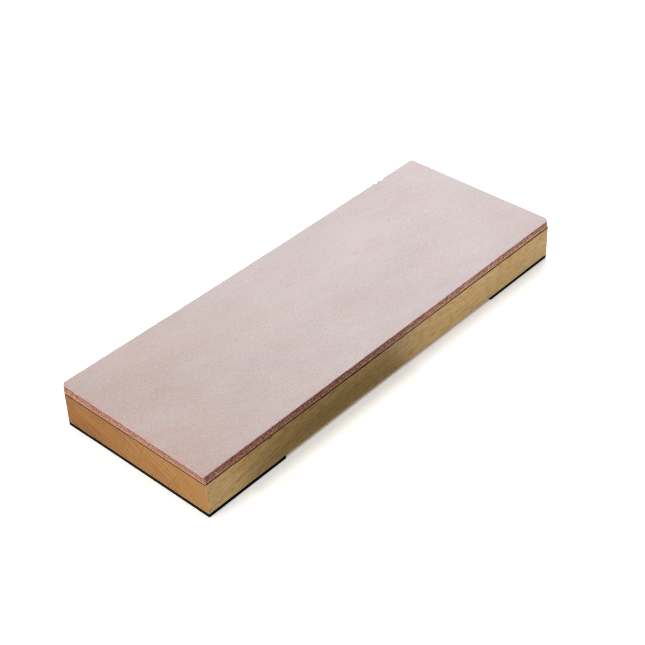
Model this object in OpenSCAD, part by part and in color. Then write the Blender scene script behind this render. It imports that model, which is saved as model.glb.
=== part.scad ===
// Bench strop: a beech block with a thick leather facing glued to its top
// and a rubber foot pad stuck under each end.
// Frame: origin at the centre of the rest plane, +X along the length from
// the near end to the far end, +Y across the width, +Z up. Millimetres.

/* [Overall] */
// Length of the strop, end to end
strop_l = 203.2; // [150:0.1:305]
// Width of the strop
strop_w = 76.2; // [50:0.1:102]

/* [Beech block] */
// Thickness of the block
block_t = 14.4; // [10:0.1:30]
// Width of the eased arris on every edge of the block
block_ease = 0.5; // [0.2:0.1:1.5]

/* [Leather facing] */
// Thickness of the leather
leather_t = 3.8; // [2:0.1:6]
// Corner radius where the near end meets the right-hand side
leather_r_near_right = 0.6; // [0.3:0.1:5]
// Corner radius where the near end meets the left-hand side
leather_r_near_left = 1.8; // [0.3:0.1:5]
// Corner radius where the far end meets the right-hand side
leather_r_far_right = 2.4; // [0.3:0.1:5]
// Corner radius where the far end meets the left-hand side
leather_r_far_left = 1.4; // [0.3:0.1:5]

/* [Glue film] */
// Thickness of the contact-cement film under the leather
glue_t = 0.3; // [0.1:0.05:0.6]
// How far the film stays back from the sides of the block
glue_inset = 0.6; // [0.3:0.1:3]

/* [Foot pads] */
// Length of each rubber pad along the block
pad_l = 39.5; // [15:0.5:70]
// Thickness of the rubber
pad_t = 1.25; // [0.8:0.05:4]
// Corner radius of the pads
pad_r = 1; // [0.3:0.1:5]
// Thickness of the adhesive under the block that holds each pad
bond_t = 0.15; // [0.1:0.05:0.5]
// How far the adhesive stays back from the edge of its pad
bond_inset = 0.8; // [0.3:0.1:3]

/* [Hidden] */
$fn = 64;

z_pad = 0;                    // underside of the pads, the rest plane
z_bond = z_pad + pad_t;       // top of the rubber
z_block = z_bond + bond_t;    // underside of the block
z_glue = z_block + block_t;   // top of the block
z_leather = z_glue + glue_t;  // underside of the leather
z_top = z_leather + leather_t;
pad_x = strop_l / 2 - pad_l / 2;

wood = [0.72, 0.55, 0.34];
suede = [0.82, 0.76, 0.74];
cement = [0.35, 0.28, 0.16];
black_rubber = [0.03, 0.03, 0.03];
bond_grey = [0.2, 0.2, 0.2];

// Flat plate centred on the axis with its own radius at each corner.
// r = [-x -y, -x +y, +x +y, +x -y]
module corner_plate(l, w, t, r) {
    sx = [-1, -1, 1, 1];
    sy = [-1, 1, 1, -1];
    linear_extrude(height = t)
        difference() {
            square([l, w], center = true);
            for (i = [0:3])
                translate([sx[i] * (l / 2 - r[i]), sy[i] * (w / 2 - r[i])])
                    difference() {
                        translate([sx[i] * (r[i] + 1) / 2, sy[i] * (r[i] + 1) / 2])
                            square(r[i] + 1, center = true);
                        circle(r = r[i]);
                    }
        }
}

// Rectangle with its corners cut at 45 degrees
module eased_rect(a, b, c) {
    polygon([
        [-a / 2 + c, -b / 2], [a / 2 - c, -b / 2],
        [a / 2, -b / 2 + c], [a / 2, b / 2 - c],
        [a / 2 - c, b / 2], [-a / 2 + c, b / 2],
        [-a / 2, b / 2 - c], [-a / 2, -b / 2 + c]]);
}

// Solid block with all twelve arrises eased
module eased_block(l, w, t, c) {
    intersection() {
        translate([0, 0, -t / 2])
            linear_extrude(height = t) eased_rect(l, w, c);
        rotate([90, 0, 0]) translate([0, 0, -w / 2])
            linear_extrude(height = w) eased_rect(l, t, c);
        rotate([90, 0, 90]) translate([0, 0, -l / 2])
            linear_extrude(height = l) eased_rect(w, t, c);
    }
}

// One piece of steamed beech, grain along X
module beech_block() {
    color(wood)
        translate([0, 0, z_block + block_t / 2])
            eased_block(strop_l, strop_w, block_t, block_ease);
}

// Thick leather, rough side up, cut flush with the block
module leather_facing() {
    color(suede)
        translate([0, 0, z_leather])
            corner_plate(strop_l, strop_w, leather_t,
                [leather_r_near_right, leather_r_near_left,
                 leather_r_far_left, leather_r_far_right]);
}

// Thin dark film of contact cement that bonds the leather to the block
module leather_glue_film() {
    color(cement)
        translate([0, 0, z_glue])
            corner_plate(strop_l - 2 * glue_inset, strop_w - 2 * glue_inset,
                glue_t, [1.5, 1.5, 1.5, 1.5]);
}

// Rubber pad under one end, full width, flush with the block
module foot_pad() {
    corner_plate(pad_l, strop_w, pad_t, [pad_r, pad_r, pad_r, pad_r]);
}

// Adhesive between a pad and the block
module pad_bond() {
    corner_plate(pad_l - 2 * bond_inset, strop_w - 2 * bond_inset,
        bond_t, [1, 1, 1, 1]);
}

module near_foot_pad() {
    color(black_rubber) translate([-pad_x, 0, z_pad]) foot_pad();
}

module far_foot_pad() {
    color(black_rubber) translate([pad_x, 0, z_pad]) foot_pad();
}

module near_pad_adhesive() {
    color(bond_grey) translate([-pad_x, 0, z_bond]) pad_bond();
}

module far_pad_adhesive() {
    color(bond_grey) translate([pad_x, 0, z_bond]) pad_bond();
}

beech_block();
leather_facing();
leather_glue_film();
near_foot_pad();
far_foot_pad();
near_pad_adhesive();
far_pad_adhesive();
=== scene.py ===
import math

import bpy
import numpy as np
from mathutils import Matrix, Vector
from mathutils.geometry import delaunay_2d_cdt


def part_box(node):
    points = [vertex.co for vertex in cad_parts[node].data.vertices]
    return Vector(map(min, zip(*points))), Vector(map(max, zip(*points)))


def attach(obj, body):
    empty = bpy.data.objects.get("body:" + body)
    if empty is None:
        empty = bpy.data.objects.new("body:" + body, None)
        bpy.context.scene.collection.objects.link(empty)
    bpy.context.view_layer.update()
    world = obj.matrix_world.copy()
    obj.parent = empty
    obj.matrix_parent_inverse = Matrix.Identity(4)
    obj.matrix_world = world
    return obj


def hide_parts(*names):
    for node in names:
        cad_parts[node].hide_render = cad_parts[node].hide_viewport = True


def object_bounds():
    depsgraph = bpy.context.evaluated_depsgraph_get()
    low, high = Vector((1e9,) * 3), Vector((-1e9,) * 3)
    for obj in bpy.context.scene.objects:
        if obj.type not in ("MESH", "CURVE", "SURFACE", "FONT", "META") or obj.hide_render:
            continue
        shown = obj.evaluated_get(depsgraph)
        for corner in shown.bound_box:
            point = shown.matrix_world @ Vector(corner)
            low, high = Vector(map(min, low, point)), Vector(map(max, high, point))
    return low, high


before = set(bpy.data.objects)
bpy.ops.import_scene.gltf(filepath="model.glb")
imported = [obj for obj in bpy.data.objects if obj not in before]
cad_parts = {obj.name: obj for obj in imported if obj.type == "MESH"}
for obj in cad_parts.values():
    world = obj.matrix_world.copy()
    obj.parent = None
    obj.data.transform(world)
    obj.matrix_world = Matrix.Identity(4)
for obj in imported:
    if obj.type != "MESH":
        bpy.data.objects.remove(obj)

cad_lo, cad_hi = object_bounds()
scene = bpy.context.scene
MM = 0.001


# --------------------------------------------------------------------------
# Small tools
# --------------------------------------------------------------------------
def box_mm(node):
    lo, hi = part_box(node)
    return np.array(lo) * 1000, np.array(hi) * 1000


def srgb(r, g, b):
    """8-bit sRGB to linear."""
    def f(c):
        c /= 255.0
        return c / 12.92 if c <= 0.04045 else ((c + 0.055) / 1.055) ** 2.4
    return (f(r), f(g), f(b), 1.0)


def _hash(ix, iy, iz, seed):
    h = (ix.astype(np.int64) * 374761393 + iy.astype(np.int64) * 668265263
         + iz.astype(np.int64) * 1442695041 + seed * 2246822519) & 0xFFFFFFFF
    h = ((h ^ (h >> 13)) * 1274126177) & 0xFFFFFFFF
    h = h ^ (h >> 16)
    return (h & 0xFFFFFF) / float(0xFFFFFF)


def noise(p, scale, seed=0):
    """Value noise from -1 to 1. p is n x 3 in mm, scale is the feature size in mm (a number or three)."""
    q = p / np.asarray(scale, float)
    i = np.floor(q)
    f = q - i
    u = f * f * f * (f * (f * 6 - 15) + 10)
    i = i.astype(np.int64)
    out = np.zeros(len(p))
    for dx in (0, 1):
        for dy in (0, 1):
            for dz in (0, 1):
                w = ((u[:, 0] if dx else 1 - u[:, 0])
                     * (u[:, 1] if dy else 1 - u[:, 1])
                     * (u[:, 2] if dz else 1 - u[:, 2]))
                out += w * _hash(i[:, 0] + dx, i[:, 1] + dy, i[:, 2] + dz, seed)
    return out * 2 - 1


def fbm(p, scale, octaves=3, seed=0, gain=0.5):
    out, amp, tot = np.zeros(len(p)), 1.0, 0.0
    s = np.asarray(scale, float)
    for k in range(octaves):
        out += amp * noise(p, s / 2 ** k, seed + 17 * k)
        tot += amp
        amp *= gain
    return out / tot


def xyz(xy, z):
    return np.column_stack([xy, np.full(len(xy), z) if np.isscalar(z) else z])


def outline(corners, radii, counts, arc_n):
    """Closed counter-clockwise outline through rounded corners.
    counts: points on each straight side, arc_n: points on each corner arc."""
    c = [np.array(p, float) for p in corners]
    pts = []
    for i in range(4):
        prev, cur, nxt = c[i - 1], c[i], c[(i + 1) % 4]
        a = (cur - prev) / np.linalg.norm(cur - prev)
        b = (nxt - cur) / np.linalg.norm(nxt - cur)
        turn = math.acos(max(-1.0, min(1.0, float(a @ b))))
        r = radii[i]
        t = r * math.tan(turn / 2)
        centre = cur - a * t + np.array([-a[1], a[0]]) * r
        start = cur - a * t - centre
        for k in range(arc_n[i]):
            ang = turn * k / arc_n[i]
            ca, sa = math.cos(ang), math.sin(ang)
            pts.append(centre + np.array([start[0] * ca - start[1] * sa,
                                          start[0] * sa + start[1] * ca]))
        r2 = radii[(i + 1) % 4]
        nn = c[(i + 2) % 4]
        b2 = (nn - nxt) / np.linalg.norm(nn - nxt)
        turn2 = math.acos(max(-1.0, min(1.0, float(b @ b2))))
        p0 = cur + b * t
        p1 = nxt - b * r2 * math.tan(turn2 / 2)
        for k in range(counts[i]):
            pts.append(p0 + (p1 - p0) * k / counts[i])
    return np.array(pts)


def outward(ring):
    t = np.roll(ring, -1, 0) - np.roll(ring, 1, 0)
    t /= np.linalg.norm(t, axis=1)[:, None] + 1e-12
    return np.column_stack([t[:, 1], -t[:, 0]])


def band(n, rows, start=0):
    """Quads that join rows of n points each, row 0 first, outward for a counter-clockwise ring going up."""
    j, i = np.meshgrid(np.arange(rows - 1), np.arange(n), indexing="ij")
    a = start + j * n + i
    b = start + j * n + (i + 1) % n
    return np.stack([a, b, b + n, a + n], -1).reshape(-1, 4)


def fill(ring, inner):
    """Triangles inside a closed ring, through the inner points. The ring's points keep their order and come first."""
    n = len(ring)
    pts = [Vector(p) for p in np.vstack([ring, inner])] if len(inner) else [Vector(p) for p in ring]
    out = delaunay_2d_cdt(pts, [], [list(range(n))], 1, 1e-7)
    verts, faces, orig = out[0], out[2], out[3]
    back = [o[0] if o else -1 for o in orig]
    if len(verts) != len(pts) or -1 in back:
        raise RuntimeError("fill made new points")
    return np.array([[back[v] for v in f] for f in faces], int)


def grid_inside(lo, hi, step, seed, jitter=0.25):
    nx = max(2, int(round((hi[0] - lo[0]) / step)))
    ny = max(2, int(round((hi[1] - lo[1]) / step)))
    xs, ys = np.linspace(lo[0], hi[0], nx + 1), np.linspace(lo[1], hi[1], ny + 1)
    gx, gy = np.meshgrid(xs, ys)
    g = np.column_stack([gx.ravel(), gy.ravel()])
    rng = np.random.default_rng(seed)
    return g + rng.uniform(-jitter, jitter, g.shape) * step


def make(name, verts_mm, faces, body="root", smooth=True, attributes=None):
    me = bpy.data.meshes.new(name)
    me.from_pydata([tuple(v) for v in np.asarray(verts_mm) * MM], [], [tuple(int(i) for i in f) for f in faces])
    me.update()
    for key, values in (attributes or {}).items():
        a = me.attributes.new(key, "FLOAT", "POINT")
        a.data.foreach_set("value", np.asarray(values, np.float32))
    if smooth:
        me.polygons.foreach_set("use_smooth", np.ones(len(me.polygons), bool))
    me.validate()
    ob = bpy.data.objects.new(name, me)
    scene.collection.objects.link(ob)
    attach(ob, body)
    return ob


# --------------------------------------------------------------------------
# Camera, at the photograph's viewing angle
# --------------------------------------------------------------------------
FOCAL_PX = 1436.2
cam_data = bpy.data.cameras.new("camera")
cam_data.sensor_width = 36.0
cam_data.lens = FOCAL_PX / 645.0 * 36.0
cam_data.clip_start, cam_data.clip_end = 0.01, 60.0
cam = bpy.data.objects.new("camera", cam_data)
scene.collection.objects.link(cam)
right = Vector((0.671586, -0.739920, -0.038594))
down = Vector((-0.477329, -0.392231, -0.786328))
ahead = Vector((0.566682, 0.546509, -0.616603))
rot = Matrix((right, -down, -ahead)).transposed()
cam.matrix_world = Matrix.Translation(Vector((-0.328895, -0.317249, 0.364631))) @ rot.to_4x4()
scene.camera = cam


# --------------------------------------------------------------------------
# Shader building
# --------------------------------------------------------------------------
class Mat:
    """A thin layer over a node tree, so that a material reads as a formula."""

    def __init__(self, name, rough=0.7, specular=0.3, **sockets):
        self.m = bpy.data.materials.new(name)
        self.m.use_nodes = True
        self.t = self.m.node_tree
        self.t.nodes.clear()
        self.out = self.t.nodes.new("ShaderNodeOutputMaterial")
        self.b = self.t.nodes.new("ShaderNodeBsdfPrincipled")
        self.t.links.new(self.b.outputs[0], self.out.inputs[0])
        self.b.inputs["Roughness"].default_value = rough
        self.b.inputs["Specular IOR Level"].default_value = specular
        for k, v in sockets.items():
            self.b.inputs[k.replace("_", " ")].default_value = v
        co = self.t.nodes.new("ShaderNodeTexCoord")
        self.p = self.vmath("SCALE", co.outputs["Object"], scale=1000.0)  # millimetres
        self.x, self.y, self.z = self.sep(self.p)
        g = self.t.nodes.new("ShaderNodeNewGeometry")
        self.nx, self.ny, self.nz = self.sep(g.outputs["Normal"])

    def put(self, sock, v):
        if isinstance(v, bpy.types.NodeSocket):
            self.t.links.new(v, sock)
        elif v is not None:
            sock.default_value = v

    def math(self, op, a, b=None, c=None, clamp=False):
        n = self.t.nodes.new("ShaderNodeMath")
        n.operation, n.use_clamp = op, clamp
        self.put(n.inputs[0], a)
        self.put(n.inputs[1], b)
        self.put(n.inputs[2], c)
        return n.outputs[0]

    def add(self, a, b): return self.math("ADD", a, b)
    def sub(self, a, b): return self.math("SUBTRACT", a, b)
    def mul(self, a, b): return self.math("MULTIPLY", a, b)
    def div(self, a, b): return self.math("DIVIDE", a, b)

    def vmath(self, op, a, b=None, scale=None):
        n = self.t.nodes.new("ShaderNodeVectorMath")
        n.operation = op
        self.put(n.inputs[0], a)
        if b is not None:
            self.put(n.inputs[1], b)
        if scale is not None:
            self.put(n.inputs["Scale"], scale)
        return n.outputs["Value"] if op in ("LENGTH", "DOT_PRODUCT", "DISTANCE") else n.outputs["Vector"]

    def sep(self, v):
        n = self.t.nodes.new("ShaderNodeSeparateXYZ")
        self.put(n.inputs[0], v)
        return n.outputs[0], n.outputs[1], n.outputs[2]

    def comb(self, x, y, z):
        n = self.t.nodes.new("ShaderNodeCombineXYZ")
        self.put(n.inputs[0], x)
        self.put(n.inputs[1], y)
        self.put(n.inputs[2], z)
        return n.outputs[0]

    def noise(self, vec, detail=2.0, rough=0.5, dist=0.0, scale=1.0, colour=False):
        n = self.t.nodes.new("ShaderNodeTexNoise")
        n.noise_dimensions = "3D"
        self.put(n.inputs["Vector"], vec)
        n.inputs["Scale"].default_value = scale
        n.inputs["Detail"].default_value = detail
        n.inputs["Roughness"].default_value = rough
        n.inputs["Distortion"].default_value = dist
        return n.outputs["Color"] if colour else n.outputs[0]

    def voronoi(self, vec, feature="F1", randomness=1.0):
        n = self.t.nodes.new("ShaderNodeTexVoronoi")
        n.voronoi_dimensions = "3D"
        n.feature = feature
        self.put(n.inputs["Vector"], vec)
        n.inputs["Scale"].default_value = 1.0
        n.inputs["Randomness"].default_value = randomness
        return n.outputs["Distance"], n.outputs.get("Color")

    def spindles(self, x, t, r, cell, half_x, half_t, thin, soft=0.35):
        """Thin lenses scattered along x: cell is the size of the cell each one sits in, all in mm.
        thin scales their thickness from place to place.
        Gives how far inside a lens the point is, 0 to 1, and two random numbers of that lens."""
        n = self.t.nodes.new("ShaderNodeTexVoronoi")
        n.voronoi_dimensions, n.feature = "3D", "F1"
        n.inputs["Scale"].default_value = 1.0
        n.inputs["Randomness"].default_value = 0.8
        q = self.comb(self.div(x, cell[0]), self.div(t, cell[1]), self.div(r, cell[2]))
        self.put(n.inputs["Vector"], q)
        dx, dt, dr = self.sep(self.vmath("SUBTRACT", q, n.outputs["Position"]))
        c1, c2, c3 = self.sep(n.outputs["Color"])
        size = self.ramp(c1, 0.0, 1.0, 0.55, 1.0, "LINEAR")
        ex = self.div(self.mul(dx, cell[0] / half_x), size)
        et = self.div(self.math("ABSOLUTE", self.mul(dt, cell[1] / half_t)), self.ramp(c3, 0.0, 1.0, 0.6, 1.0, "LINEAR"))
        d = self.add(self.mul(ex, ex), self.div(et, thin))
        return self.ramp(d, 1.0, 1.0 - soft, 0.0, 1.0), c2, c3

    def white(self, vec):
        n = self.t.nodes.new("ShaderNodeTexWhiteNoise")
        n.noise_dimensions = "3D"
        self.put(n.inputs["Vector"], vec)
        return n.outputs["Value"]

    def ramp(self, v, a, b, lo=0.0, hi=1.0, kind="SMOOTHSTEP"):
        n = self.t.nodes.new("ShaderNodeMapRange")
        n.interpolation_type = kind
        n.clamp = True if kind == "LINEAR" else n.clamp
        self.put(n.inputs["Value"], v)
        for key, val in (("From Min", a), ("From Max", b), ("To Min", lo), ("To Max", hi)):
            self.put(n.inputs[key], val)
        return n.outputs["Result"]

    def mix(self, f, a, b, blend="MIX"):
        n = self.t.nodes.new("ShaderNodeMix")
        n.data_type, n.blend_type, n.clamp_result = "RGBA", blend, False
        self.put(n.inputs["Factor"], f)
        self.put(n.inputs[6], a)
        self.put(n.inputs[7], b)
        return n.outputs[2]

    def gain(self, col, v):
        """Colour times a number."""
        return self.vmath("SCALE", col, scale=v)

    def shade(self, col, v, k=(0.78, 1.0, 1.28)):
        """Like gain, but what is darker is also warmer."""
        d = self.sub(v, 1.0)
        f = self.comb(*(self.math("MAXIMUM", self.add(1.0, self.mul(d, s)), 0.06) for s in k))
        return self.vmath("MULTIPLY", col, f)

    def bump(self, height, distance_mm, strength=1.0, normal=None):
        n = self.t.nodes.new("ShaderNodeBump")
        n.inputs["Strength"].default_value = strength
        n.inputs["Distance"].default_value = distance_mm * MM
        self.put(n.inputs["Height"], height)
        if normal is not None:
            self.put(n.inputs["Normal"], normal)
        return n.outputs[0]

    def attr(self, name):
        n = self.t.nodes.new("ShaderNodeAttribute")
        n.attribute_type = "GEOMETRY"
        n.attribute_name = name
        return n.outputs["Fac"]

    def colour(self, v): self.put(self.b.inputs["Base Color"], v)
    def roughness(self, v): self.put(self.b.inputs["Roughness"], v)
    def normal(self, v): self.put(self.b.inputs["Normal"], v)


# --------------------------------------------------------------------------
# Beech
# --------------------------------------------------------------------------
def beech():
    m = Mat("beech_oiled", rough=0.5, specular=0.10)
    # slow wander of the grain, so that rings and flecks never run dead straight
    slow = m.vmath("SUBTRACT", m.noise(m.vmath("MULTIPLY", m.p, (0.012, 0.03, 0.03)), 1.0, colour=True), (0.5, 0.5, 0.5))
    wx, wy, wz = m.sep(slow)
    tilt = m.ramp(m.x, -95.0, 60.0, -0.17, -0.06, "SMOOTHSTEP")
    yy = m.add(m.y, m.mul(wy, 6.0))
    zz = m.add(m.add(m.z, m.mul(m.add(m.x, 40.0), tilt)), m.mul(wz, 5.0))
    # the pith lies below the left side of the block: rings are arcs about it
    u = m.sub(64.0, yy)
    v = m.add(zz, 131.0)
    r = m.math("SQRT", m.add(m.mul(u, u), m.mul(v, v)))
    th = m.mul(m.math("ARCTAN2", u, v), 150.0)
    end = m.ramp(m.math("ABSOLUTE", m.nx), 0.55, 0.85)
    # growth rings, uneven in width, with a thin dark late-wood line
    wob = m.noise(m.comb(m.mul(m.x, 0.01), m.mul(th, 0.02), m.mul(r, 0.25)), 2.0, 0.6)
    rc = m.add(m.mul(r, 0.86), m.mul(wob, 2.8))
    f = m.math("FRACT", rc)
    rnd = m.white(m.comb(m.math("FLOOR", rc), 3.0, 1.0))
    late = m.mul(m.ramp(f, 0.42, 0.84), m.ramp(f, 0.88, 1.0, 1.0, 0.0))
    late = m.mul(late, m.ramp(rnd, 0.0, 1.0, 0.55, 1.0, "LINEAR"))
    hair = m.noise(m.comb(m.mul(m.x, 0.02), m.div(th, 16.0), m.div(r, 0.42)), 2.0, 0.6)
    # rays, cut across: thin spindles a few millimetres along the grain
    thin = m.ramp(m.y, -30.0, 38.0, 1.0, 0.4, "LINEAR")
    fleck, fr1, fr2 = m.spindles(m.x, th, r, (6.4, 0.60, 3.2), 2.6, 0.098, thin)
    fleckb, gr1, gr2 = m.spindles(m.add(m.x, 31.0), m.add(th, 17.0), r, (4.6, 0.50, 2.4), 1.7, 0.075, thin)
    # fibre
    streak = m.noise(m.comb(m.div(m.x, 24.0), m.div(yy, 1.0), m.div(zz, 0.7)), 3.0, 0.65)
    fibre = m.noise(m.comb(m.div(m.x, 4.5), m.div(yy, 0.3), m.div(zz, 0.3)), 2.0, 0.6)
    cloud = m.noise(m.comb(m.div(m.x, 60.0), m.div(yy, 18.0), m.div(zz, 12.0)), 1.0)
    pores = m.noise(m.vmath("SCALE", m.p, scale=3.4), 2.0, 0.6)
    # long-grain colour
    side = m.mix(m.ramp(streak, 0.3, 0.7), srgb(189, 156, 98), srgb(206, 175, 122))
    side = m.mix(m.mul(late, 0.22), side, srgb(165, 124, 70))
    side = m.shade(side, m.ramp(fibre, 0.25, 0.75, 0.92, 1.08, "LINEAR"), (0.6, 1.0, 2.7))
    side = m.gain(side, m.ramp(cloud, 0.3, 0.7, 0.96, 1.04, "LINEAR"))
    depth = m.ramp(m.x, -98.0, -40.0, 0.86, 1.0, "LINEAR")
    side = m.mix(m.mul(m.mul(fleck, depth), m.ramp(fr1, 0.15, 0.8, 0.25, 1.0, "LINEAR")), side, srgb(160, 88, 0))
    side = m.mix(m.mul(m.mul(fleckb, depth), m.ramp(gr1, 0.15, 0.9, 0.15, 0.90, "LINEAR")), side, srgb(160, 94, 6))
    # end grain: darker and more orange, with rings, rays and pores
    tone = m.noise(m.comb(m.mul(th, 0.06), m.mul(r, 0.09), 2.0), 2.0)
    ec = m.mix(m.ramp(tone, 0.3, 0.7), srgb(149, 97, 42), srgb(163, 112, 54))
    ec = m.mix(m.ramp(m.y, -38.0, 34.0, 0.62, 0.0, "LINEAR"), ec, srgb(180, 137, 84))
    warm = (0.66, 1.0, 1.9)
    right = m.ramp(m.y, 10.0, -38.0)
    quiet = m.ramp(m.math("ABSOLUTE", m.sub(m.y, 4.0)), 6.0, 26.0, 0.78, 1.05)
    ec = m.shade(ec, m.sub(0.98, m.mul(m.mul(late, quiet), m.ramp(right, 0.0, 1.0, 0.66, 0.46, "LINEAR"))), warm)
    swing = m.ramp(right, 0.0, 1.0, 0.34, 0.10, "LINEAR")
    ec = m.shade(ec, m.add(1.0, m.mul(m.ramp(hair, 0.28, 0.72, -1.0, 1.0, "LINEAR"), swing)), warm)
    # rays seen end on: fine dark lines from the pith outward, plainest in the middle of the face
    tt = m.add(m.div(th, 1.25), m.mul(m.noise(m.comb(m.mul(th, 0.15), m.mul(r, 0.08), 5.0), 1.0), 1.6))
    tf = m.math("ABSOLUTE", m.sub(m.math("FRACT", tt), 0.5))
    tr = m.white(m.comb(m.math("FLOOR", tt), 8.0, 2.0))
    broken = m.ramp(m.noise(m.comb(m.mul(th, 0.8), m.mul(r, 0.16), 9.0), 1.0), 0.38, 0.56)
    ray = m.mul(m.mul(m.ramp(tf, 0.17, 0.05), m.ramp(tr, 0.15, 0.85)), broken)
    mid = m.ramp(m.math("ABSOLUTE", m.add(m.y, 10.0)), 28.0, 10.0, 0.10, 0.46)
    ec = m.mix(m.mul(ray, mid), ec, srgb(112, 62, 14))
    ec = m.shade(ec, m.ramp(pores, 0.3, 0.7, 0.90, 1.10, "LINEAR"), warm)
    # painted shade: the long grain is made darker over the last twelve millimetres toward the near end
    side = m.gain(side, m.ramp(m.x, -101.6, -90.0, 0.93, 1.0))
    ec = m.gain(ec, m.ramp(m.math("ABSOLUTE", m.sub(m.y, 12.0)), 6.0, 19.0, 0.95, 1.0))
    col = m.mix(end, side, ec)
    # arrises: a little paler, partly rubbed through the oil and partly a painted highlight where the rounding catches
    # the light
    rubbed_and_lit_arris = m.attr("arris")
    col = m.mix(m.mul(rubbed_and_lit_arris, m.ramp(m.noise(m.vmath("SCALE", m.p, scale=0.25), 2.0), 0.35, 0.65, 0.2, 0.7)), col, srgb(208, 166, 104))
    m.colour(col)
    m.roughness(m.ramp(m.add(streak, m.mul(fleck, 0.3)), 0.3, 0.9, 0.40, 0.56, "LINEAR"))
    h = m.add(m.mul(fibre, 0.5), m.mul(streak, 0.4))
    h = m.sub(h, m.mul(fleck, 0.35))
    h = m.sub(h, m.mul(m.mul(end, late), 0.5))
    h = m.add(h, m.mul(m.mul(end, m.add(pores, hair)), 0.6))
    m.normal(m.bump(h, 0.04, 0.7))
    return m.m


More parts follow.
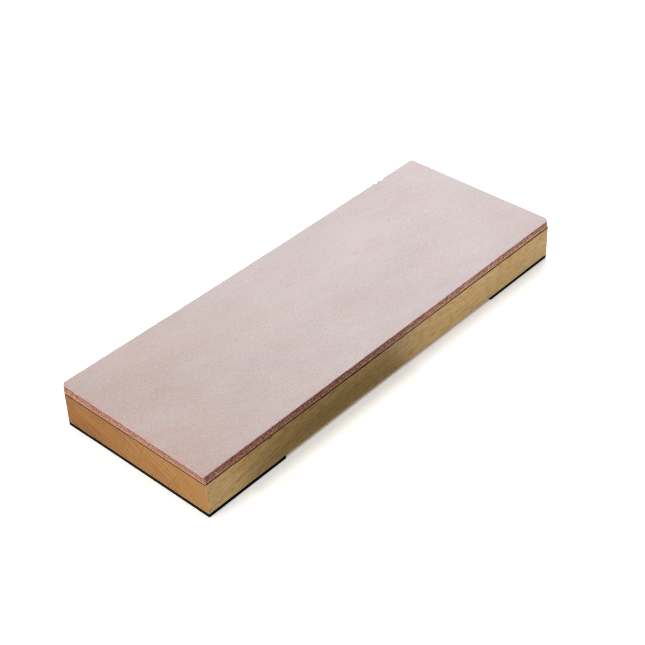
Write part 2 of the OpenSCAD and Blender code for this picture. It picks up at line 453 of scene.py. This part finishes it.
# --------------------------------------------------------------------------
# Leather
# --------------------------------------------------------------------------
def leather():
    m = Mat("leather_suede", rough=0.95, specular=0.12, Sheen_Weight=0.1, Sheen_Roughness=0.6)
    wall = m.attr("wall")
    h = m.attr("height")     # 0 at the underside, 1 at the nap
    # ---- the nap: a is along the brush strokes, b across them
    a = m.sub(m.mul(m.x, 0.985), m.mul(m.y, 0.174))
    b = m.add(m.mul(m.y, 0.985), m.mul(m.x, 0.174))
    c = m.sub(m.mul(m.x, 0.94), m.mul(m.y, 0.342))
    d = m.add(m.mul(m.y, 0.94), m.mul(m.x, 0.342))
    blotch = m.noise(m.comb(m.div(a, 34.0), m.div(b, 19.0), 0.0), 5.0, 0.62, 0.4)
    patch = m.noise(m.comb(m.div(c, 13.0), m.div(d, 5.5), 7.0), 4.0, 0.6, 0.3)
    stroke = m.noise(m.comb(m.div(a, 26.0), m.div(b, 1.5), 3.0), 3.0, 0.6, 0.3)
    scuff = m.noise(m.comb(m.div(c, 7.0), m.div(d, 0.75), 9.0), 2.0, 0.6, 0.3)
    e = m.add(m.mul(m.x, 0.87), m.mul(m.y, 0.5))
    g = m.sub(m.mul(m.y, 0.87), m.mul(m.x, 0.5))
    slant = m.noise(m.comb(m.div(e, 4.5), m.div(g, 0.8), 19.0), 2.0, 0.6, 0.4)
    scuff = m.add(scuff, m.mul(m.ramp(m.x, 10.0, 70.0), m.sub(slant, scuff)))
    cloud = m.noise(m.comb(m.div(m.x, 42.0), m.div(m.y, 26.0), 11.0), 3.0, 0.55)
    grain = m.noise(m.vmath("SCALE", m.p, scale=1.5), 3.0, 0.75)
    nap = m.noise(m.comb(m.div(a, 0.75), m.div(b, 0.36), 0.0), 2.0, 0.65, 0.8)
    pink = m.add(m.add(m.mul(blotch, 0.42), m.mul(patch, 0.26)), m.add(m.mul(stroke, 0.18), m.mul(scuff, 0.14)))
    streaks = m.noise(m.comb(m.div(c, 24.0), m.div(d, 3.4), 13.0), 3.0, 0.6, 0.3)
    pink = m.add(m.mul(pink, 0.78), m.mul(streaks, 0.22))
    lum = m.add(m.mul(cloud, 0.5), m.add(m.mul(stroke, 0.25), m.mul(scuff, 0.25)))
    # toward the near end the nap is darker and warmer: partly the leather's own tone, partly painted shade
    near = m.ramp(m.x, 60.0, -104.0, 0.0, 1.0, "LINEAR")
    near = m.mul(near, near)
    col = m.mix(m.mul(near, 0.85), srgb(186, 178, 178), srgb(173, 157, 153))
    col = m.mix(m.mul(m.ramp(pink, 0.39, 0.61), 0.75), m.vmath("MULTIPLY", col, (1.0, 0.985, 0.98)), m.mix(near, srgb(186, 169, 166), srgb(174, 150, 141)))
    col = m.gain(col, m.ramp(lum, 0.34, 0.66, 0.945, 1.085, "LINEAR"))
    col = m.shade(col, m.ramp(grain, 0.25, 0.75, 0.85, 1.15, "LINEAR"))
    col = m.shade(col, m.ramp(nap, 0.25, 0.75, 0.88, 1.12, "LINEAR"))
    # pinholes where the fibre opens
    dv, cv = m.voronoi(m.comb(m.div(m.x, 1.5), m.div(m.y, 1.3), 0.0))
    cr, cg, cb = m.sep(cv)
    pin = m.mul(m.ramp(dv, 0.26, 0.10, 0.0, 1.0), m.ramp(cr, 0.35, 0.8))
    col = m.mix(m.mul(pin, 0.42), col, srgb(168, 122, 102))
    dw, cw = m.voronoi(m.comb(m.div(m.x, 9.0), m.div(m.y, 8.0), 5.0))
    wr, wg, wb = m.sep(cw)
    speck = m.mul(m.ramp(dw, 0.055, 0.03, 0.0, 1.0), m.ramp(wr, 0.6, 0.7))
    col = m.mix(m.mul(speck, 0.45), col, srgb(128, 104, 96))
    # ---- the cut edge: short fibres lying all ways, dark between them
    s = m.add(m.x, m.y)

    def fibres(angle, la, lb, seed):
        ca, sa = math.cos(math.radians(angle)), math.sin(math.radians(angle))
        p = m.div(m.add(m.mul(s, ca), m.mul(m.z, sa)), la)
        q = m.div(m.sub(m.mul(m.z, ca), m.mul(s, sa)), lb)
        return m.noise(m.comb(p, q, seed), 1.0, 0.5, 0.5)

    f1 = fibres(48.0, 1.25, 0.42, 3.0)
    f2 = fibres(-38.0, 1.1, 0.40, 17.0)
    f3 = fibres(8.0, 1.3, 0.38, 31.0)
    f4 = fibres(80.0, 1.0, 0.36, 47.0)
    light = m.math("MAXIMUM", m.math("MAXIMUM", f1, f2), m.math("MAXIMUM", f3, f4))
    pits = m.noise(m.comb(m.mul(s, 1.25), m.mul(m.z, 1.45), 60.0), 2.0, 0.6, 0.6)
    tuft = m.noise(m.comb(m.mul(s, 0.22), m.mul(m.z, 0.3), 71.0), 2.0, 0.5)
    edge = m.mix(m.ramp(pits, 0.56, 0.36), srgb(152, 87, 61), srgb(112, 49, 26))
    amount = m.add(0.58, m.mul(m.sub(tuft, 0.5), -0.10))
    amount = m.add(m.sub(amount, 0.02), m.mul(h, 0.085))
    on_end = m.ramp(m.math("ABSOLUTE", m.nx), 0.3, 0.6)
    bright = m.sub(m.ramp(m.x, -100.0, 60.0, 0.82, 0.88, "LINEAR"), m.mul(on_end, 0.08))
    edge = m.mix(m.mul(m.ramp(m.sub(light, amount), 0.0, 0.05), bright), edge, srgb(215, 171, 150))
    low = m.mul(m.ramp(m.x, -100.0, -60.0, 0.0, 0.32), m.ramp(m.x, 0.0, 60.0, 1.0, 0.3))
    low = m.math("MAXIMUM", low, m.mul(on_end, 0.5))
    edge = m.mix(m.mul(m.ramp(h, 0.24, 0.03), low), edge, srgb(208, 164, 142))
    # the nap turns over the top of the cut in an uneven, pale line
    lip = m.ramp(m.add(h, m.mul(m.sub(m.noise(m.vmath("SCALE", m.p, scale=0.8), 2.0), 0.5), 0.16)), 0.85, 0.93)
    # painted shade and light: along the long side the cut edge is made darker toward the near end and a little darker
    # toward the far end, and on the end faces it is made brighter and paler than on the long sides
    painted_edge_shade = m.mul(m.ramp(m.x, -101.0, -15.0, 0.79, 1.11), m.ramp(m.x, 30.0, 95.0, 1.0, 0.94))
    edge = m.shade(edge, m.add(painted_edge_shade, m.mul(on_end, 0.10)), (0.55, 1.0, 0.9))
    edge = m.mix(m.mul(on_end, 0.22), edge, srgb(180, 124, 100))
    away = m.ramp(m.add(m.nx, m.ny), 0.3, 0.9, 1.0, 0.0)
    edge = m.mix(m.mul(m.mul(lip, away), m.ramp(on_end, 0.0, 1.0, 0.22, 0.66, "LINEAR")), edge, srgb(226, 192, 182))
    col = m.mix(wall, col, edge)
    m.colour(col)
    top_h = m.add(m.mul(grain, 0.7), m.add(m.mul(nap, 0.5), m.add(m.mul(scuff, 0.7), m.mul(pin, -0.8))))
    top_h = m.add(top_h, m.mul(stroke, 0.9))
    edge_h = m.add(m.mul(pits, 0.8), m.mul(light, 0.9))
    n1 = m.bump(m.mul(top_h, m.sub(1.0, wall)), 0.12, 0.6)
    m.normal(m.bump(m.mul(edge_h, wall), 0.35, 0.8, n1))
    return m.m


def cement():
    m = Mat("contact_cement", rough=0.6, specular=0.1)
    n = m.noise(m.vmath("SCALE", m.p, scale=0.9), 3.0, 0.6)
    col = m.mix(m.ramp(n, 0.35, 0.68), srgb(44, 34, 14), srgb(66, 52, 26))
    col = m.mix(m.ramp(m.math("ABSOLUTE", m.nx), 0.4, 0.8), col, m.mix(m.ramp(n, 0.35, 0.68), srgb(58, 41, 6), srgb(86, 64, 14)))
    m.colour(col)
    m.roughness(m.ramp(n, 0.3, 0.7, 0.45, 0.7, "LINEAR"))
    m.normal(m.bump(m.noise(m.vmath("SCALE", m.p, scale=2.2), 2.0), 0.12, 0.6))
    return m.m


def rubber():
    m = Mat("pad_rubber", rough=0.7, specular=0.06)
    g = m.noise(m.vmath("SCALE", m.p, scale=2.4), 3.0, 0.65)
    dust = m.noise(m.vmath("MULTIPLY", m.p, (0.12, 0.12, 0.4)), 3.0, 0.6)
    col = m.mix(m.ramp(dust, 0.45, 0.75), srgb(3, 4, 6), srgb(9, 11, 14))
    m.colour(m.gain(col, m.ramp(g, 0.3, 0.7, 0.85, 1.15, "LINEAR")))
    m.roughness(m.ramp(g, 0.3, 0.7, 0.5, 0.72, "LINEAR"))
    cell, _ = m.voronoi(m.comb(m.mul(m.x, 1.6), m.mul(m.y, 1.6), m.mul(m.z, 1.6)))
    m.normal(m.bump(m.add(m.mul(cell, 0.7), m.mul(g, 0.6)), 0.06, 0.7))
    return m.m


def bond():
    m = Mat("pad_adhesive", rough=0.5, specular=0.3)
    n = m.noise(m.vmath("SCALE", m.p, scale=0.7), 3.0, 0.6)
    m.colour(m.mix(m.ramp(n, 0.35, 0.65), srgb(18, 18, 18), srgb(34, 33, 32)))
    m.roughness(m.ramp(n, 0.3, 0.7, 0.4, 0.65, "LINEAR"))
    m.normal(m.bump(n, 0.03, 0.5))
    return m.m


# --------------------------------------------------------------------------
# The block: a rounded box with worn arrises
# --------------------------------------------------------------------------
def build_block():
    lo, hi = box_mm("beech_block")
    c, h = (lo + hi) / 2, (hi - lo) / 2
    zone, wear = 0.3, 0.13
    def axis(half, step):
        n = max(2, int(round(2 * (half - zone) / step)))
        inner = np.linspace(-half + zone, half - zone, n + 1)
        return np.concatenate([[-half, -half + 0.2 * zone, -half + 0.5 * zone], inner,
                               [half - 0.5 * zone, half - 0.2 * zone, half]])
    ax = [axis(h[0], 1.7), axis(h[1], 1.7), axis(h[2], 1.3)]
    n = [len(a) for a in ax]
    ids, pts, faces = {}, [], []

    def vid(i, j, k):
        key = (i, j, k)
        if key not in ids:
            ids[key] = len(pts)
            pts.append((ax[0][i], ax[1][j], ax[2][k]))
        return ids[key]

    for i in range(n[0] - 1):
        for j in range(n[1] - 1):
            faces.append([vid(i, j, 0), vid(i, j + 1, 0), vid(i + 1, j + 1, 0), vid(i + 1, j, 0)])
            k = n[2] - 1
            faces.append([vid(i, j, k), vid(i + 1, j, k), vid(i + 1, j + 1, k), vid(i, j + 1, k)])
    for i in range(n[0] - 1):
        for k in range(n[2] - 1):
            faces.append([vid(i, 0, k), vid(i + 1, 0, k), vid(i + 1, 0, k + 1), vid(i, 0, k + 1)])
            j = n[1] - 1
            faces.append([vid(i, j, k), vid(i, j, k + 1), vid(i + 1, j, k + 1), vid(i + 1, j, k)])
    for j in range(n[1] - 1):
        for k in range(n[2] - 1):
            faces.append([vid(0, j, k), vid(0, j, k + 1), vid(0, j + 1, k + 1), vid(0, j + 1, k)])
            i = n[0] - 1
            faces.append([vid(i, j, k), vid(i, j + 1, k), vid(i, j + 1, k + 1), vid(i, j, k + 1)])
    p = np.array(pts)
    # arris radius wanders a little along each edge
    rad = wear * (1 + 0.3 * noise(p, 14.0, 3) + 0.2 * noise(p, 4.0, 5))
    over = np.maximum(np.abs(p) - (h - rad[:, None]), 0)
    base = np.sign(p) * (np.abs(p) - over)
    length = np.linalg.norm(over, axis=1)
    near = (over > 1e-9).sum(1) >= 2
    q = p.copy()
    q[near] = base[near] + np.sign(p[near]) * over[near] / length[near, None] * rad[near, None]
    arris = np.zeros(len(p))
    arris[near & (p[:, 2] < h[2] - 0.8)] = 1.0     # the top arris lies under the cement
    # planed faces are flat to a few hundredths; a few small knocks on the arrises
    nrm = np.where(np.abs(np.abs(p) - h) < 1e-9, np.sign(p), 0)
    nrm = nrm / np.maximum(np.linalg.norm(nrm, axis=1)[:, None], 1e-9)
    q -= nrm * (0.012 + 0.012 * fbm(p, (40, 9, 9), 2, 11))[:, None]
    knocks = [((-64, -38.1, 1.4), 1.1, 0.16), ((12, -38.1, 15.8), 0.8, 0.1), ((88, -38.1, 1.4), 1.3, 0.14),
              ((-101.6, 21, 1.4), 0.9, 0.12), ((101.6, -9, 15.8), 1.0, 0.14), ((31, 38.1, 1.4), 1.2, 0.15),
              ((-101.6, -38.1, 9.0), 0.8, 0.08), ((101.6, 38.1, 4.0), 1.0, 0.12)]
    # the block is a shade out of square at its near left corner, toward the bottom
    out = np.exp(-((p[:, 0] + h[0]) / 26) ** 2) * np.clip((p[:, 1] + 10) / (h[1] + 10), 0, 1) ** 2 * np.clip(0.5 - p[:, 2] / (2 * h[2]), 0, 1)
    q[:, 1] += 0.24 * out
    q[:, 0] -= 0.16 * out * (np.abs(p[:, 0]) > h[0] - 1e-6)
    for at, size, deep in knocks:
        d = np.linalg.norm(p + c - np.array(at), axis=1)
        w = np.exp(-(d / size) ** 2)
        inward = -q / np.linalg.norm(q * [0.02, 0.05, 0.3], axis=1)[:, None] * [0.02, 0.05, 0.3]
        q += inward * (w * deep)[:, None]
    return make("beech_block_detailed", q + c, faces, attributes={"arris": arris})


# --------------------------------------------------------------------------
# The leather: cut by hand, so its outline wanders a little and the cut is fibrous
# --------------------------------------------------------------------------
TEARS = ((75.7, 0.55, -0.35), (77.2, 0.80, 1.05), (81.0, 1.05, 0.95))     # x, half width, depth, mm


def build_leather():
    lo, hi = box_mm("leather_facing")
    blo, bhi = box_mm("beech_block")
    z0, z1 = lo[2] - 0.05, hi[2]
    # corners counter-clockwise from the near right one, at the nap and at the glue
    top_c = [(blo[0] - 0.48, blo[1] + 0.10), (bhi[0] + 0.06, blo[1] - 0.32), (bhi[0] + 0.62, bhi[1] - 0.50), (blo[0] + 0.16, bhi[1] + 0.97)]
    bot_c = [(blo[0] - 0.06, blo[1] - 0.05), (bhi[0] - 0.10, blo[1] - 0.02), (bhi[0] + 0.15, bhi[1] - 0.25), (blo[0] - 0.03, bhi[1] + 0.10)]
    top_r, bot_r = [0.4, 2.9, 1.4, 1.6], [0.3, 1.0, 0.9, 0.6]
    # the far long side was not cut quite straight: it bows in along its middle (X from the near end, mm)
    bow_x = np.array([0, 6, 22, 38, 54, 70, 85, 101, 117, 133, 149, 165, 181, 203.2])
    bow_y = np.array([0, 0.02, -0.22, -0.28, -0.47, -0.43, -0.52, -0.58, -0.60, -0.46, -0.38, -0.25, -0.15, 0.0])
    step = 0.24
    L, W = hi[0] - lo[0], hi[1] - lo[1]
    counts = [int(L / step), int(W / step), int(L / step), int(W / step)]
    arcs = [6, 16, 10, 12]

    def ring_of(corners, radii, inset):
        cc = [np.array(c, float) for c in corners]
        s = [(1, 1), (-1, 1), (-1, -1), (1, -1)]
        cc = [c + inset * np.array(k) for c, k in zip(cc, s)]
        ring = outline(cc, [max(r - inset, 0.22) for r in radii], counts, arcs)
        if corners is top_c:
            far = np.clip((ring[:, 1] - 25) / 10, 0, 1)
            ring[:, 1] += far * np.interp(ring[:, 0] - blo[0], bow_x, bow_y)
        return ring

    top, bot = ring_of(top_c, top_r, 0), ring_of(bot_c, bot_r, 0)
    n = len(top)
    nrm = outward(top)
    # outline wander, and a rough torn stretch on the far side near the far end
    p2 = xyz(top, 0.0)
    wander = 0.05 * noise(p2, 26, 21) + 0.045 * noise(p2, 7, 22)
    torn = np.exp(-((top[:, 0] - 77.5) / 3.2) ** 2) * (top[:, 1] > 30)
    rough_zone = np.clip((top[:, 0] - 66) / 14, 0, 1) * (top[:, 1] > 30)
    wander += rough_zone * 0.13 * noise(p2, 1.9, 23) + 0.16 * torn * noise(p2, 1.5, 29)
    wander += 0.12 * noise(p2, 1.6, 31) * (top[:, 1] > 30)
    for at, wide, deep in TEARS:
        wander -= deep * np.exp(-((top[:, 0] - at) / wide) ** 2) * (top[:, 1] > 30)

    rho = 0.34
    rows = [(-0.10, 0.0), (0.0, 0.12)]
    wall_n = 14
    for k in range(1, wall_n + 1):
        rows.append((0.0, 0.12 + (z1 - z0 - rho - 0.12) * k / wall_n))
    for a in (30, 60, 90):
        rows.append((-rho * (1 - math.cos(math.radians(a))), z1 - z0 - rho + rho * math.sin(math.radians(a))))
    V, wall_a, h_a = [], [], []
    for inset, dz in rows:
        t = dz / (z1 - z0)
        ring = bot * (1 - t) + top * t
        # on the near end the edge hangs a little lower, over the glue
        sag = np.clip((blo[0] + 1.0 - bot[:, 0]) / 1.0, 0, 1) * 0.22 * max(0.0, 1 - 2.5 * t)
        z = z0 + dz - sag
        q = xyz(ring, z)
        # fibre bundles stand out and fall in along the cut
        turned = np.clip(nrm[:, 0] + nrm[:, 1], 0, 1)      # the sides that face away: the nap folds over the cut
        amp = np.clip(t / 0.12, 0, 1) * (np.clip((1 - t) / 0.1, 0, 1) * (1 - turned) + np.clip((0.86 - t) / 0.2, 0, 1) * turned)
        fibre = (0.085 * fbm(q, (1.05, 1.05, 0.62), 2, 31, 0.6)
                 + 0.05 * (1 - 2 * np.abs(noise(q, (1.6, 1.6, 0.8), 37)))
                 + 0.04 * noise(q, (5.0, 5.0, 1.3), 41))
        belly = 0.05 * math.sin(math.pi * min(t, 1.0))
        off = inset + wander * (0.35 + 0.65 * t) + amp * fibre + belly
        ring = ring + nrm * off[:, None]
        V.append(xyz(ring, z + amp * 0.05 * noise(q, 0.9, 43)))
        wall_a.append(np.full(n, 1.0 if t < 0.95 else 0.0))
        h_a.append(np.full(n, t))
    crest = V[-1][:, :2]
    faces = [band(n, len(rows))]
    count = n * len(rows)

    def surface(p):
        """Height of the nap above nominal, in mm."""
        q = p.copy()
        q[:, 2] = 0
        wave = 0.05 * noise(q, 48, 51) + 0.022 * noise(q, 13, 52) + 0.012 * noise(q, 2.6, 53)
        d = np.minimum.reduce([q[:, 0] - lo[0], hi[0] - q[:, 0], q[:, 1] - lo[1], hi[1] - q[:, 1]])
        return wave - 0.11 * np.exp(-np.clip(d, 0, None) / 1.6)

    V[-1][:, 2] += surface(V[-1])
    V[-2][:, 2] += 0.6 * surface(V[-2])
    # two more full rings, then thinner and thinner ones, then an open grid
    inner = []
    for inset, share in ((0.22, 0.75), (0.55, 0.45)):
        ring = ring_of(top_c, top_r, rho + inset) + nrm * (wander * share)[:, None]
        q = xyz(ring, z1)
        q[:, 2] += surface(q)
        V.append(q)
        wall_a.append(np.zeros(n))
        h_a.append(np.ones(n))
    faces.append(band(n, 3, n * (len(rows) - 1)))
    count = n * (len(rows) + 2)
    last = V[-1][:, :2]
    for inset, every in ((0.95, 2), (1.5, 3), (2.2, 4)):
        inner.append(ring_of(top_c, top_r, rho + inset)[::every])
    m = 3.1
    inner.append(grid_inside((lo[0] + m, lo[1] + m), (hi[0] - m, hi[1] - m), 0.95, 5, 0.2))
    inner = np.vstack(inner)
    tri = fill(last, inner)
    q = xyz(inner, z1)
    q[:, 2] += surface(q)
    V.append(q)
    wall_a.append(np.zeros(len(inner)))
    h_a.append(np.ones(len(inner)))
    start = n * (len(rows) + 1)
    tri_t = np.where(tri < n, tri + start, tri - n + count)
    # the underside, flat on the glue
    under = grid_inside((lo[0] + 4, lo[1] + 4), (hi[0] - 4, hi[1] - 4), 7.0, 6, 0.1)
    tri_b = fill(V[0][:, :2], under)
    base = count + len(inner)
    V.append(xyz(under, z0))
    wall_a.append(np.ones(len(under)))
    h_a.append(np.zeros(len(under)))
    tri_b = np.where(tri_b < n, tri_b, tri_b - n + base)[:, ::-1]
    allf = [list(f) for part in faces for f in part] + [list(f) for f in tri_t] + [list(f) for f in tri_b]
    return make("leather_facing_detailed", np.vstack(V), allf,
                attributes={"wall": np.concatenate(wall_a), "height": np.concatenate(h_a)})


# --------------------------------------------------------------------------
# The cement line, and the pads
# --------------------------------------------------------------------------
def plate(name, lo, hi, z_rows, radius, step, wander_mm, seed, over=0.0, attributes=None, pull=None):
    """A closed plate whose sides follow z_rows, a list of (offset outward, z).
    pull: a corner and how far it is drawn, in mm."""
    corners = [(lo[0] - over, lo[1] - over), (hi[0] + over, lo[1] - over), (hi[0] + over, hi[1] + over), (lo[0] - over, hi[1] + over)]
    cn = [int((hi[0] - lo[0]) / step), int((hi[1] - lo[1]) / step)] * 2
    ring = outline(corners, [radius] * 4, cn, [8] * 4)
    if pull:
        d = np.linalg.norm(ring - np.array(pull[0]), axis=1)
        ring += np.exp(-(d / 16) ** 2)[:, None] * np.array(pull[1])
    nr = outward(ring)
    n = len(ring)
    V = []
    for off, z in z_rows:
        q = xyz(ring, z)
        w = wander_mm * fbm(q, (6.0, 6.0, 1.0), 3, seed, 0.6)
        V.append(xyz(ring + nr * (off + w)[:, None], z))
    rows = len(z_rows)
    faces = [list(f) for f in band(n, rows)]
    m = max(1.5, radius + 1.0)
    pts = grid_inside((lo[0] + m, lo[1] + m), (hi[0] - m, hi[1] - m), 6.0, seed, 0.1)
    top = fill(V[-1][:, :2], pts)
    bot = fill(V[0][:, :2], pts)
    count = n * rows
    V.append(xyz(pts, z_rows[-1][1]))
    V.append(xyz(pts, z_rows[0][1]))
    top = np.where(top < n, top + n * (rows - 1), top - n + count)
    bot = np.where(bot < n, bot, bot - n + count + len(pts))[:, ::-1]
    faces += [list(f) for f in top] + [list(f) for f in bot]
    return make(name, np.vstack(V), faces, attributes=attributes)


def build_glue():
    """The cement squeezed out to the faces of the wood, a dark line of uneven width; its widening toward the far end
    is painted shade of the gap in the seam.
    """
    blo, bhi = box_mm("beech_block")
    glo, ghi = box_mm("leather_glue_film")
    corners = [(blo[0], blo[1]), (bhi[0], blo[1]), (bhi[0], bhi[1]), (blo[0], bhi[1])]
    cn = [int((bhi[0] - blo[0]) / 0.45), int((bhi[1] - blo[1]) / 0.45)] * 2
    ring = outline(corners, [0.4] * 4, cn, [5] * 4)
    nr = outward(ring)
    n = len(ring)
    top = ghi[2] + 0.02
    p = xyz(ring, 0.0)
    # thicker toward the far end, where the extra width of dark cement is painted shade of the gap in the seam, and
    # lower on the near end
    thick = 0.70 + 0.16 * np.clip((ring[:, 0] - 40) / 60, 0, 1) + 0.10 * noise(p, 9.0, 71) + 0.05 * noise(p, 2.2, 72)
    drop = 0.34 * np.clip((blo[0] + 1.0 - ring[:, 0]) / 1.0, 0, 1)
    out = 0.035 + 0.03 * noise(p, 5.0, 73)
    rows = [(-0.26, 1.0), (-0.06, 1.0), (0.6, 0.86), (1.0, 0.6), (1.0, 0.3), (0.4, 0.08), (-0.26, 0.0)]
    V = []
    for k, down in rows:
        off = np.where(k > 0, out * k, k)
        V.append(xyz(ring + nr * off[:, None], top - (thick + drop) * down))
    faces = [list(f) for f in band(n, len(rows))]
    pts = grid_inside((blo[0] + 3, blo[1] + 3), (bhi[0] - 3, bhi[1] - 3), 8.0, 74, 0.1)
    cap_t = fill(V[-1][:, :2], pts)
    cap_b = fill(V[0][:, :2], pts)
    count = n * len(rows)
    V.append(xyz(pts, top))
    V.append(xyz(pts, top - 0.62))
    cap_t = np.where(cap_t < n, cap_t + n * (len(rows) - 1), cap_t - n + count)
    cap_b = np.where(cap_b < n, cap_b, cap_b - n + count + len(pts))[:, ::-1]
    faces += [list(f) for f in cap_t] + [list(f) for f in cap_b]
    return make("glue_line_detailed", np.vstack(V), faces)


def build_pad(name, node, seed, over, pull=None):
    lo, hi = box_mm(node)
    e = 0.07
    rows = [(-e, lo[2])]
    for a in (30, 60, 90):
        rows.append((-e * (1 - math.sin(math.radians(a))), lo[2] + e * (1 - math.cos(math.radians(a)))))
    rows += [(0.0, (lo[2] + hi[2]) / 2 + 0.1), (0.0, hi[2] - 0.04), (-0.04, hi[2] + 0.01), (-0.12, hi[2] + 0.02)]
    return plate(name, lo[:2], hi[:2], rows, 0.45, 0.6, 0.006, seed, over=over, pull=pull)


block = build_block()
skin = build_leather()
glue = build_glue()
pad_near = build_pad("near_foot_pad_detailed", "near_foot_pad", 81, 0.08,
                     pull=((cad_lo[0] * 1000, 38.1), (-0.15, 0.30)))
pad_far = build_pad("far_foot_pad_detailed", "far_foot_pad", 82, 0.04)

for ob, node, slot, mat in (
    (block, "beech_block", "beech", beech()),
    (skin, "leather_facing", "leather", leather()),
    (glue, "leather_glue_film", "contact_cement", cement()),
):
    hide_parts(node)
    ob.data.materials.append(mat)
rub = rubber()
for ob, node in ((pad_near, "near_foot_pad"), (pad_far, "far_foot_pad")):
    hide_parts(node)
    ob.data.materials.append(rub)
tape = bond()
for node in ("near_pad_adhesive", "far_pad_adhesive"):
    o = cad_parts[node]
    o.data.materials.clear()
    o.data.materials.append(tape)


# --------------------------------------------------------------------------
# Stage: pale floor, soft light
# --------------------------------------------------------------------------
me = bpy.data.meshes.new("floor")
S = 30.0
me.from_pydata([(-S, -S, 0), (S, -S, 0), (S, S, 0), (-S, S, 0)], [], [(0, 1, 2, 3)])
floor = bpy.data.objects.new("floor", me)
scene.collection.objects.link(floor)
fm = bpy.data.materials.new("floor_pale")
fm.use_nodes = True
fb = fm.node_tree.nodes["Principled BSDF"]
fb.inputs["Base Color"].default_value = (0.95, 0.95, 0.95, 1)
fb.inputs["Roughness"].default_value = 0.9
fb.inputs["Specular IOR Level"].default_value = 0.1
fb.inputs["Emission Color"].default_value = (1, 1, 1, 1)
fb.inputs["Emission Strength"].default_value = 0.14
me.materials.append(fm)

world = bpy.data.worlds.new("studio")
scene.world = world
world.use_nodes = True
wt = world.node_tree
wt.nodes.clear()
wo = wt.nodes.new("ShaderNodeOutputWorld")
bg = wt.nodes.new("ShaderNodeBackground")
bg2 = wt.nodes.new("ShaderNodeBackground")
lp = wt.nodes.new("ShaderNodeLightPath")
mx = wt.nodes.new("ShaderNodeMixShader")
bg.inputs[0].default_value = (1, 1, 1, 1)
bg.inputs[1].default_value = 0.22
bg2.inputs[0].default_value = (1, 1, 1, 1)
bg2.inputs[1].default_value = 0.95
wt.links.new(lp.outputs["Is Camera Ray"], mx.inputs[0])
wt.links.new(bg.outputs[0], mx.inputs[1])
wt.links.new(bg2.outputs[0], mx.inputs[2])
wt.links.new(mx.outputs[0], wo.inputs[0])

scene.view_settings.view_transform = "Standard"
scene.view_settings.look = "None"
scene.view_settings.exposure = 0.0


def aim(ob, target):
    d = Vector(target) - ob.location
    ob.rotation_mode = "QUATERNION"
    ob.rotation_quaternion = d.to_track_quat("-Z", "Y")


def sun(name, direction, strength, angle, colour=(1, 1, 1)):
    l = bpy.data.lights.new(name, "SUN")
    l.energy, l.angle, l.color = strength, math.radians(angle), colour
    o = bpy.data.objects.new(name, l)
    scene.collection.objects.link(o)
    o.location = -Vector(direction).normalized() * 2
    aim(o, (0, 0, 0))
    return o


def area(name, loc, target, watts, sx, sy, colour=(1, 1, 1), spread=180):
    l = bpy.data.lights.new(name, "AREA")
    l.shape, l.size, l.size_y, l.energy, l.color = "RECTANGLE", sx, sy, watts, colour
    l.spread = math.radians(spread)
    o = bpy.data.objects.new(name, l)
    scene.collection.objects.link(o)
    o.location = loc
    aim(o, target)
    return o


# a broad overhead light, a little toward the near end, and a softbox over the far end
sun("overhead", (0.25, -0.02, -1.0), 2.05, 50)
area("softbox_far", (0.42, 0.25, 0.62), (0.06, 0.0, 0.0), 3.4, 0.45, 0.45)
area("end_soft", (-0.95, 0.05, 0.36), (-0.1, 0.0, 0.01), 3.2, 0.5, 0.5)

# a dark flag beside the long side, which keeps the light of the floor off its middle. It stands for no part of the object.
def card(name, x0, x1, y0, y1, z0, z1, colour, lead=0.0):
    """A box. lead: how far it reaches past x0, thinning to nothing."""
    v = [(x, y, z) for x in (x0, x1) for y in (y0, y1) for z in (z0, z1)]
    f = [(0, 1, 3, 2), (4, 6, 7, 5), (0, 4, 5, 1), (2, 3, 7, 6), (0, 2, 6, 4), (1, 5, 7, 3)]
    if lead:
        v += [(x0 - lead, y0, z0), (x0 - lead, y1, z0)]
        f = f[1:] + [(0, 1, 8), (2, 9, 3), (0, 8, 9, 2), (1, 3, 9, 8)]
    data = bpy.data.meshes.new(name)
    data.from_pydata(v, [], f)
    o = bpy.data.objects.new(name, data)
    scene.collection.objects.link(o)
    mat = bpy.data.materials.new(name + "_cloth")
    mat.use_nodes = True
    p = mat.node_tree.nodes["Principled BSDF"]
    p.inputs["Base Color"].default_value = colour
    p.inputs["Roughness"].default_value = 0.9
    p.inputs["Specular IOR Level"].default_value = 0.1
    data.materials.append(mat)
    o.visible_camera = False
    o.visible_shadow = False
    return o


card("flag", -0.0655, 0.0080, -0.0740, -0.0570, 0.0006, 0.0078, (0.05, 0.05, 0.04, 1), lead=0.026)
card("flag_foot", -0.0640, 0.0080, -0.0570, -0.0400, 0.0004, 0.0008, (0.27, 0.235, 0.16, 1), lead=0.018)

# a tight pixel filter, as crisp as a studio product picture
scene.cycles.filter_width = 1.1
